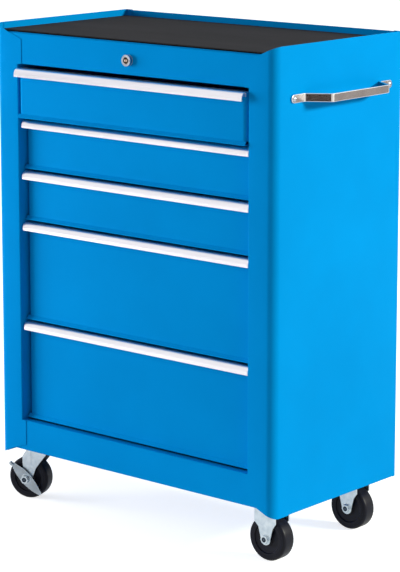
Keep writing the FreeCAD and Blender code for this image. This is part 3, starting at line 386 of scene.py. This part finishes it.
def key_plug(name, centre, worn, ring_shade, steel):
    """Brass, worn bright round the keyhole, with a dark ring of painted shade and a steel collar.
    """
    material, tree, shader = new_material(name, 0.3, 1.0)
    reach = reach_from(tree, centre, (0, 1, 0))
    # Painted shade: a dark ring on the plug's face, between the keyhole and the collar.
    bands = (0.27, worn), (0.36, ring_shade), (0.64, ring_shade), (0.7, steel)
    smears = grain(tree, 400, 4)
    tree.links.new(rings(tree, reach, PLUG_FACE, *bands), shader.inputs["Base Color"])
    wear(tree, shader, smears, 0.22, 0.4)
    return material


def rounded(middle, radius, first, last, steps=6):
    """Points of an arc between two directions in degrees, as (place along the axis, radius)."""
    turns = [math.radians(first + (last - first) * i / steps) for i in range(steps + 1)]
    return [(middle[0] + radius * math.cos(t), middle[1] + radius * math.sin(t)) for t in turns]


def turned_mesh(name, line, centre, axis, steps=BARREL_STEPS):
    """A closed line of (place along the axis, radius) in mm, turned round the axis."""
    along = Vector(axis).normalized()
    upright = Vector((0, 0, 1))
    across = along.cross(upright).normalized()
    corners = []
    for step in range(steps):
        turn = math.tau * step / steps
        out = across * math.cos(turn) + upright * math.sin(turn)
        corners += [centre + (along * u + out * v) * MM for u, v in line]
    count = len(line)
    faces = []
    for step in range(steps):
        here = step * count
        there = (step + 1) % steps * count
        for i in range(count):
            j = (i + 1) % count
            faces.append((here + i, here + j, there + j, there + i))
    mesh = bpy.data.meshes.new(name)
    mesh.from_pydata(corners, [], faces)
    shape = bmesh.new()
    shape.from_mesh(mesh)
    bmesh.ops.recalc_face_normals(shape, faces=shape.faces)
    shape.to_mesh(mesh)
    shape.free()
    return mesh


chrome = polished_chrome("lock_chrome", high="#C3C9D2", low="#AEB4BF", roughness=0.2)
barrel_low, barrel_high = [Vector(c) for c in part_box("lock_barrel")]
barrel_long = (barrel_high.y - barrel_low.y) / MM
barrel_front = Vector(
    ((barrel_low.x + barrel_high.x) / 2, barrel_low.y, (barrel_low.z + barrel_high.z) / 2)
)
brass = key_plug(
    "plug_brass", barrel_front, worn="#FFE6D6", ring_shade="#3A302B", steel="#A9A3A3"
)

dished_face = [(-1.3, PLUG_HOLE), (-1.1, 6.5), (-0.9, 7.2)]
rim_crest = rounded((-0.7, 7.9), 0.7, -20, 40, 3)
rim_shoulder = rounded((-2.2, HEAD_RADIUS - 2.0), 2.0, 40, 90, 6)
head_side = [(-6.6, HEAD_RADIUS), (-7.0, 9.6)]
head_groove = [(-7.1, 9.3), (-7.3, 9.25)]
flange = [(-7.5, FLANGE_RADIUS), (-HEAD_LONG, FLANGE_RADIUS), (-HEAD_LONG, 8.0)]
barrel_line = dished_face + rim_crest + rim_shoulder + head_side + head_groove + flange
thread = -HEAD_LONG - THREAD_PITCH
while thread > 1.5 - barrel_long:
    barrel_line += [(thread, THREAD_CREST), (thread - THREAD_PITCH / 2, THREAD_ROOT)]
    thread -= THREAD_PITCH
barrel_line += [(0.6 - barrel_long, 7.8), (-barrel_long, 7.2), (-barrel_long, PLUG_HOLE)]

barrel = link_piece(
    "lock_barrel_turned",
    turned_mesh("lock_barrel_turned", barrel_line, barrel_front, (0, -1, 0)),
    chrome,
    "cabinet",
    "chrome",
    "lock_barrel",
)
finish_edges(barrel, edge=0.08 * MM, angle=40)
dressed("lock_nut", zinc, "zinc")
dressed("lock_plug", brass, "plug_brass", edge=0.2 * MM)
for node in ("lock_rod", "rod_bracket", "lock_bar", "lock_bar_guides"):
    dressed(node, zinc, "zinc", edge=0.25 * MM)


# Side handle
# A flat steel strap, bent to a flat-topped bow and chromed, with highlights painted on its edges
# in a paler chrome. Each foot is held to the side by a chromed screw with a domed head and a
# cross slot.

HANDLE_EDGE = 0.9 * MM
SLOT_LONG = 5.2 * MM
SLOT_WIDE = 1.1 * MM
SLOT_DEEP = 1.5 * MM
SEAM_GAP = 0.01 * MM


def highlight_edges(piece, material):
    """Gives the eased edges a paler finish of their own, as painted highlights."""
    piece.data.materials.append(material)
    piece.modifiers["eased_edges"].material = 1


def new_tree(name, sizes):
    """A node tree that takes points and named sizes in metres."""
    tree = bpy.data.node_groups.new(name, "GeometryNodeTree")
    tree.interface.new_socket("Geometry", in_out="INPUT", socket_type="NodeSocketGeometry")
    tree.interface.new_socket("Geometry", in_out="OUTPUT", socket_type="NodeSocketGeometry")
    for size in sizes:
        tree.interface.new_socket(size, in_out="INPUT", socket_type="NodeSocketFloat")
    tree.nodes.new("NodeGroupInput")
    tree.nodes.new("NodeGroupOutput")
    return tree


def sizes_of(tree):
    """The tree's named sizes, in the order they were given."""
    return [s for s in tree.nodes["Group Input"].outputs if s.type == "VALUE"]


def add(tree, kind, **values):
    node = tree.nodes.new(kind)
    for name, value in values.items():
        node.inputs[name].default_value = value
    return node


def reckon(tree, operation, first, second):
    """A sum in the tree, of sockets or plain numbers."""
    node = tree.nodes.new("ShaderNodeMath")
    node.operation = operation
    join_to(tree, first, node.inputs[0])
    join_to(tree, second, node.inputs[1])
    return node.outputs[0]


def half(tree, value):
    return reckon(tree, "MULTIPLY", value, 0.5)


def vector_of(tree, *values):
    """Three sockets or plain numbers as one vector."""
    node = tree.nodes.new("ShaderNodeCombineXYZ")
    for value, socket in zip(values, node.inputs):
        join_to(tree, value, socket)
    return node.outputs[0]


def raised(tree, mesh, height):
    """The mesh moved up the Z axis."""
    node = tree.nodes.new("GeometryNodeTransform")
    tree.links.new(mesh, node.inputs["Geometry"])
    tree.links.new(vector_of(tree, 0.0, 0.0, height), node.inputs["Translation"])
    return node.outputs[0]


def at_each_point(tree, parts, material, turn=(0, 0, 0)):
    """Joins the parts and sets a turned copy of them on each point, as real mesh."""
    joined = tree.nodes.new("GeometryNodeJoinGeometry")
    for part in parts:
        tree.links.new(part, joined.inputs[0])
    spread = tree.nodes.new("GeometryNodeInstanceOnPoints")
    spread.inputs["Rotation"].default_value = turn
    real = tree.nodes.new("GeometryNodeRealizeInstances")
    finish = tree.nodes.new("GeometryNodeSetMaterial")
    finish.inputs["Material"].default_value = material
    tree.links.new(tree.nodes["Group Input"].outputs["Geometry"], spread.inputs["Points"])
    tree.links.new(joined.outputs[0], spread.inputs["Instance"])
    tree.links.new(spread.outputs[0], real.inputs[0])
    tree.links.new(real.outputs[0], finish.inputs[0])
    tree.links.new(finish.outputs[0], tree.nodes["Group Output"].inputs[0])


def made_by(tree, name, points, values):
    """The mesh that the tree makes on the points, with its named sizes in metres."""
    marks = bpy.data.meshes.new(name + "_marks")
    marks.from_pydata(points, [], [])
    carrier = bpy.data.objects.new(name + "_carrier", marks)
    bpy.context.scene.collection.objects.link(carrier)
    form = carrier.modifiers.new("form", "NODES")
    form.node_group = tree
    for socket in tree.interface.items_tree:
        if socket.in_out == "INPUT" and socket.name in values:
            form[socket.identifier] = values[socket.name]
    graph = bpy.context.evaluated_depsgraph_get()
    mesh = bpy.data.meshes.new_from_object(carrier.evaluated_get(graph))
    mesh.name = name
    carrier.modifiers.remove(form)
    bpy.data.objects.remove(carrier)
    shape = bmesh.new()
    shape.from_mesh(mesh)
    bmesh.ops.remove_doubles(shape, verts=shape.verts, dist=SEAM_GAP)
    bmesh.ops.dissolve_degenerate(shape, edges=shape.edges, dist=SEAM_GAP)
    bmesh.ops.recalc_face_normals(shape, faces=shape.faces)
    shape.to_mesh(mesh)
    shape.free()
    return mesh


def round_block(tree, radius, height, low, sides=32):
    """A disc or pin on the Z axis, from low upwards."""
    disc = add(tree, "GeometryNodeMeshCylinder", Vertices=sides)
    join_to(tree, radius, disc.inputs["Radius"])
    join_to(tree, height, disc.inputs["Depth"])
    return raised(tree, disc.outputs["Mesh"], reckon(tree, "ADD", low, half(tree, height)))


def bar_block(tree, length, width, height, low):
    """A bar along the X axis, from low upwards."""
    bar = add(tree, "GeometryNodeMeshCube")
    tree.links.new(vector_of(tree, length, width, height), bar.inputs["Size"])
    return raised(tree, bar.outputs["Mesh"], reckon(tree, "ADD", low, half(tree, height)))


def cut(tree, operation, first, *others):
    """Keeps what the meshes share, or takes the others out of the first."""
    node = tree.nodes.new("GeometryNodeMeshBoolean")
    node.operation = operation
    node.solver = "EXACT"
    shared = operation == "INTERSECT"
    tree.links.new(first, node.inputs["Mesh 2" if shared else "Mesh 1"])
    for other in others:
        tree.links.new(other, node.inputs["Mesh 2"])
    return node.outputs["Mesh"]


handle_chrome = polished_chrome(
    "handle_chrome", high="#D9D4D3", low="#CBC5C3", roughness=0.14
)
# Painted highlights: the handle's eased edges get this paler chrome.
handle_edge_highlight = polished_chrome("handle_edge_highlight", high="#E2E3E8", low="#D2D3D9", roughness=0.3)
highlight_edges(dressed("side_handle", handle_chrome, "chrome", HANDLE_EDGE), handle_edge_highlight)

tree = new_tree("domed_screw", ("Head size", "Dome", "Slot length", "Slot width", "Slot depth"))
head_size, dome, slot_length, slot_width, slot_depth = sizes_of(tree)
head_half = half(tree, head_size)
head_square = reckon(tree, "MULTIPLY", head_half, head_half)
dome_square = reckon(tree, "MULTIPLY", dome, dome)
ball_radius = reckon(
    tree,
    "DIVIDE",
    reckon(tree, "ADD", head_square, dome_square),
    reckon(tree, "MULTIPLY", dome, 2.0),
)
ball = add(tree, "GeometryNodeMeshUVSphere", Segments=48, Rings=32)
tree.links.new(ball_radius, ball.inputs["Radius"])
sunk = raised(tree, ball.outputs["Mesh"], reckon(tree, "SUBTRACT", dome, ball_radius))
capped = cut(tree, "INTERSECT", sunk, round_block(tree, head_size, head_size, 0.0))
slot_low = reckon(tree, "SUBTRACT", dome, slot_depth)
slots = (
    bar_block(tree, slot_length, slot_width, dome, slot_low),
    bar_block(tree, slot_width, slot_length, dome, slot_low),
)
facing_right = (0, math.pi / 2, 0)
at_each_point(tree, [cut(tree, "DIFFERENCE", capped, *slots)], chrome, facing_right)

screw_low, screw_high = [Vector(c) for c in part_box("handle_screws")]
screw_size = screw_high.z - screw_low.z
screw_marks = [
    (screw_low.x, y, (screw_low.z + screw_high.z) / 2)
    for y in (screw_low.y + screw_size / 2, screw_high.y - screw_size / 2)
]
screw_sizes = {
    "Head size": screw_size,
    "Dome": screw_high.x - screw_low.x,
    "Slot length": SLOT_LONG,
    "Slot width": SLOT_WIDE,
    "Slot depth": SLOT_DEEP,
}
link_piece(
    "handle_screw_heads",
    made_by(tree, "handle_screw_heads", screw_marks, screw_sizes),
    chrome,
    "cabinet",
    "chrome",
    "handle_screws",
)


# Casters
# Black moulded wheels turn on bolts in pressed forks of zinc plated steel. The pair at the left
# end swivels under its plates, and a lever at the side of each of these wheels brakes it.

AXLE_HOLE = 4.1
HUB_FACE = 13.4
HUB_RADIUS = 11.9
WEB_FACE = 11.3
WEB_RADIUS = 23.6
RIM_FACE = 14.0
RIM_RADIUS = 30.6
SHOULDER = 5.4
TREAD_RADIUS = 37.5
WHEEL_LOW = "#12131C"
WHEEL_HIGH = "#191A25"
WHEEL_GLOSS = 0.16
AXLE_END = 10 * MM
PRESSED_EDGE = 0.4 * MM
LEVER_EDGE = 0.8 * MM


def spin_joint(body):
    return next(j for j in frame["joints"] if j["child"] == body)


hub_bore = [(HUB_FACE - 0.5, AXLE_HOLE), (HUB_FACE, AXLE_HOLE + 0.5), (HUB_FACE, 10.6)]
hub_edge = rounded((HUB_FACE - 1.0, HUB_RADIUS - 1.0), 1.0, 0, 90, 4)
web = [(WEB_FACE + 0.3, 12.2), (WEB_FACE, 12.6), (WEB_FACE, WEB_RADIUS), (11.7, 24.4)]
rim_edge = [(13.1, 25.2)] + rounded((RIM_FACE - 0.7, 26.0), 0.7, -60, 0, 3)
rim_groove = [(RIM_FACE, RIM_RADIUS), (13.5, 31.0), (13.5, 31.5), (13.8, 31.9)]
tread = rounded((8.4, TREAD_RADIUS - SHOULDER), SHOULDER, 4, 90, 8)
wheel_side = hub_bore + hub_edge + web + rim_edge + rim_groove + tread
wheel_line = wheel_side + [(-u, v) for u, v in reversed(wheel_side)]

wheel_black, tree, shader = new_material("wheel_black", 0.35)
shader.inputs["Specular IOR Level"].default_value = WHEEL_GLOSS
scuffs = grain(tree, 25, 3)
smears = grain(tree, 90, 4)
mould_skin = grain(tree, 600, 2)
tint(tree, shader, scuffs, WHEEL_LOW, WHEEL_HIGH)
wear(tree, shader, smears, 0.28, 0.44)
relief(tree, shader, mould_skin, 0.05 * MM)
for node in sorted(n for n in frame["nodes"] if n.startswith("wheel_")):
    spin = spin_joint(body_of(node))
    mesh = turned_mesh(node + "_moulded", wheel_line, Vector(spin["pos_m"]), spin["axis"])
    wheel = link_piece(node + "_moulded", mesh, wheel_black, body_of(node), "wheel_black", node)
    finish_edges(wheel, edge=0.15 * MM, angle=28)


def axle_zinc(name, centre, axis):
    """Zinc plate with painted shade on an axle bolt's end and in a darker ring round it."""
    material = plated_zinc(name)
    tree = material.node_tree
    base = tree.nodes["Principled BSDF"].inputs["Base Color"]
    plain = base.links[0].from_socket
    # Painted shade: the bolt's end is darkened, and more so in a ring round it.
    marks = (0.0, "#8A9099"), (0.2, "#3A414C"), (0.4, "#343B46"), (0.47, "#FFFFFF")
    axle_painted_shade = rings(tree, reach_from(tree, centre, axis), AXLE_END, *marks)
    tree.links.new(mixed(tree, 1.0, plain, axle_painted_shade, "MULTIPLY"), base)
    return material


# The brake levers' flats are a darker zinc, and their eased edges get the paler zinc as painted
# highlights.
lever_zinc = polished_chrome("lever_zinc", high="#BCC5CC", low="#8E989F", roughness=0.2)
for node in sorted(frame["nodes"]):
    if node.startswith("caster_plate"):
        dressed(node, zinc, "zinc", PRESSED_EDGE)
    if node.startswith("caster_fork"):
        spin = spin_joint(body_of(node.replace("caster_fork", "wheel")))
        fork_zinc = axle_zinc(node + "_zinc", spin["pos_m"], spin["axis"])
        dressed(node, fork_zinc, "zinc", PRESSED_EDGE)
    if node.startswith("brake_"):
        highlight_edges(dressed(node, lever_zinc, "zinc", LEVER_EDGE), zinc)


# Caster bolts
# Sixteen M6 bolts with a washer under each hexagon head go up through the plates and the base
# pan, and a nut draws each one tight inside the cabinet. They are zinc plated as the plates are.

PLATE_THICK = 2.5 * MM
PAN_THICK = 1 * MM
BOLT_X = 30 * MM
BOLT_Y = 24.5 * MM
WASHER_SHARE = 0.64


def hexagon_block(tree, flats, height, low, opens_up):
    """A hexagon with its corners turned off round one end, as a nut or bolt head has.

    The cone that cuts them off passes both ends of the hexagon by a tenth of its height, because
    two faces in one plane upset the cut.
    """
    prism = round_block(tree, reckon(tree, "DIVIDE", flats, math.sqrt(3)), height, low, 6)
    slim = reckon(tree, "MULTIPLY", flats, 0.44)
    wide = reckon(tree, "MULTIPLY", flats, 1.2)
    tall = reckon(tree, "MULTIPLY", height, 1.2)
    foot = reckon(tree, "SUBTRACT", low, reckon(tree, "MULTIPLY", height, 0.1))
    cone = add(tree, "GeometryNodeMeshCone", Vertices=48)
    tree.links.new(slim if opens_up else wide, cone.inputs["Radius Bottom"])
    tree.links.new(wide if opens_up else slim, cone.inputs["Radius Top"])
    tree.links.new(tall, cone.inputs["Depth"])
    return cut(tree, "INTERSECT", prism, raised(tree, cone.outputs["Mesh"], foot))


tree = new_tree(
    "plate_bolts",
    ("Across flats", "Head height", "Washer", "Grip", "Nut height", "Thread size", "Thread end"),
)
flats, head_height, washer, grip, nut_height, thread_size, thread_end = sizes_of(tree)
washer_radius = reckon(tree, "MULTIPLY", flats, WASHER_SHARE)
washer_low = reckon(tree, "SUBTRACT", 0.0, washer)
head_low = reckon(tree, "SUBTRACT", washer_low, head_height)
thread_long = reckon(tree, "ADD", reckon(tree, "ADD", grip, nut_height), thread_end)
at_each_point(
    tree,
    [
        hexagon_block(tree, flats, head_height, head_low, True),
        round_block(tree, washer_radius, washer, washer_low),
        round_block(tree, half(tree, thread_size), thread_long, 0.0),
        hexagon_block(tree, flats, nut_height, grip, False),
    ],
    zinc,
)

bolt_marks = []
for node in ("caster_plate_front_left", "caster_plate_rear_left"):
    low, high = [Vector(c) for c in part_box(node)]
    middle_x = (low.x + high.x) / 2
    middle_y = (low.y + high.y) / 2
    plate_foot = high.z - PLATE_THICK
    for u in (-BOLT_X, BOLT_X):
        for v in (-BOLT_Y, BOLT_Y):
            bolt_marks.append((middle_x + u, middle_y + v, plate_foot))
            bolt_marks.append((-middle_x - u, middle_y + v, plate_foot))
bolt_sizes = {
    "Across flats": 11 * MM,
    "Head height": 3.6 * MM,
    "Washer": 0.9 * MM,
    "Grip": PLATE_THICK + PAN_THICK,
    "Nut height": 5 * MM,
    "Thread size": 6 * MM,
    "Thread end": 1.5 * MM,
}
link_piece(
    "caster_bolts_and_nuts",
    made_by(tree, "caster_bolts_and_nuts", bolt_marks, bolt_sizes),
    zinc,
    "cabinet",
    "zinc",
    "caster_bolts",
)


# Studio
# A pale floor that keeps the cabinet's shadow, a white surround, and a soft lamp each for the
# front and the side, so that the rounded corner between them stays a shade darker. Two cards
# off to the right give the chrome and the zinc something dark to show.

CABINET_MIDDLE = (0, 0, 0.45)
HANDLE_MIDDLE = (0.35, 0, 0.765)
SURROUND_LIGHT = 0.29
SURROUND_WHITE = 1.0
FLOOR_REACH = 30
FLOOR_GREY = 0.75
GLOW_NEAR = 0.74
GLOW_FAR = 0.95
GLOW_FROM = 0.7
GLOW_TO = 3.0
GLOW_MIRRORED = 0.5


def aimed(thing, place, target, front):
    """Puts a thing in the scene with its front side, Z or -Z, towards the target."""
    thing.location = place
    thing.rotation_euler = (Vector(target) - Vector(place)).to_track_quat(front, "Y").to_euler()
    bpy.context.scene.collection.objects.link(thing)
    return thing


def lamp(name, place, size, power, colour, mirrored):
    data = bpy.data.lights.new(name, "AREA")
    data.shape = "RECTANGLE"
    data.size, data.size_y = size
    data.energy = power
    data.color = colour
    light = aimed(bpy.data.objects.new(name, data), place, CABINET_MIDDLE, "-Z")
    light.visible_glossy = mirrored


def flat_mesh(name, half_wide, half_long):
    corners = [(-1, -1), (1, -1), (1, 1), (-1, 1)]
    mesh = bpy.data.meshes.new(name)
    mesh.from_pydata([(x * half_wide, y * half_long, 0) for x, y in corners], [], [(0, 1, 2, 3)])
    return mesh


def card(name, place, size, colour):
    """A tinted card beside the set, seen only in the metal."""
    mesh = flat_mesh(name, size[0] / 2, size[1] / 2)
    board = aimed(bpy.data.objects.new(name, mesh), place, HANDLE_MIDDLE, "Z")
    material, tree, shader = new_material(name, 1.0)
    shader.inputs["Base Color"].default_value = (0, 0, 0, 1)
    shader.inputs["Specular IOR Level"].default_value = 0.0
    shader.inputs["Emission Color"].default_value = (*colour, 1)
    shader.inputs["Emission Strength"].default_value = 1.0
    mesh.materials.append(material)
    board.visible_camera = False
    board.visible_diffuse = False
    board.visible_shadow = False


def looked_at(tree, mirrored=1.0):
    """1 for what the camera sees, mirrored for what a shiny or clear surface shows, 0 for light."""
    paths = tree.nodes.new("ShaderNodeLightPath")
    seen = paths.outputs["Is Camera Ray"]
    for ray in ("Is Glossy Ray", "Is Transmission Ray"):
        shown = reckon(tree, "MULTIPLY", paths.outputs[ray], mirrored)
        seen = reckon(tree, "MAXIMUM", seen, shown)
    return seen


lamp(
    "front_lamp",
    place=(-3.4, -1.96, 0.7),
    size=(2.2, 2.2),
    power=200,
    colour=(1, 1, 1),
    mirrored=False,
)
lamp(
    "side_lamp",
    place=(5.2, 2.3, 2.62),
    size=(1.8, 0.7),
    power=385,
    colour=(1, 1, 0.85),
    mirrored=True,
)
card("grey_card", place=(2.0, 2.0, 0.42), size=(1.8, 0.8), colour=(0.46, 0.42, 0.40))
card("dark_card", place=(2.0, -2.6, 0.5), size=(1.6, 1.0), colour=(0.05, 0.03, 0.025))

world = bpy.data.worlds.new("white_surround")
bpy.context.scene.world = world
world.use_nodes = True
tree = world.node_tree
background = tree.nodes["Background"]
background.inputs["Color"].default_value = (1, 1, 1, 1)
strength = mapped(tree, looked_at(tree), SURROUND_LIGHT, SURROUND_WHITE)
tree.links.new(strength, background.inputs["Strength"])

floor = bpy.data.objects.new("floor", flat_mesh("floor", FLOOR_REACH, FLOOR_REACH))
bpy.context.scene.collection.objects.link(floor)
floor_white, tree, shader = new_material("floor_white", 0.9)
shader.inputs["Base Color"].default_value = (FLOOR_GREY, FLOOR_GREY, FLOOR_GREY, 1)
shader.inputs["Specular IOR Level"].default_value = 0.0
shader.inputs["Emission Color"].default_value = (1, 1, 1, 1)
from_middle = reach_from(tree, (0, 0, 0), (0, 0, 1))
paler = mapped(tree, from_middle, GLOW_NEAR, GLOW_FAR, GLOW_FROM, GLOW_TO)
glow = reckon(tree, "MULTIPLY", looked_at(tree, GLOW_MIRRORED), paler)
tree.links.new(glow, shader.inputs["Emission Strength"])
floor.data.materials.append(floor_white)


# Camera
# A long lens at the front right, a little above the top and 4 m off, looks slightly down. It is
# shifted down, so that the cabinet's upright edges stay nearly upright in the picture.

CAMERA_PLACE = (2.5425, -2.9626, 1.2359)
CAMERA_AZIMUTH = math.radians(40.51)
CAMERA_ELEVATION = math.radians(9.92)

camera_data = bpy.data.cameras.new("photo_camera")
camera_data.sensor_width = 36
camera_data.lens = 146.14
camera_data.shift_y = -0.15
camera = bpy.data.objects.new("photo_camera", camera_data)
look = Vector(
    (
        -math.sin(CAMERA_AZIMUTH) * math.cos(CAMERA_ELEVATION),
        math.cos(CAMERA_AZIMUTH) * math.cos(CAMERA_ELEVATION),
        -math.sin(CAMERA_ELEVATION),
    )
)
camera.location = CAMERA_PLACE
camera.rotation_euler = look.to_track_quat("-Z", "Y").to_euler()
bpy.context.scene.collection.objects.link(camera)
bpy.context.scene.camera = camera
bpy.context.scene.view_settings.view_transform = "Standard"
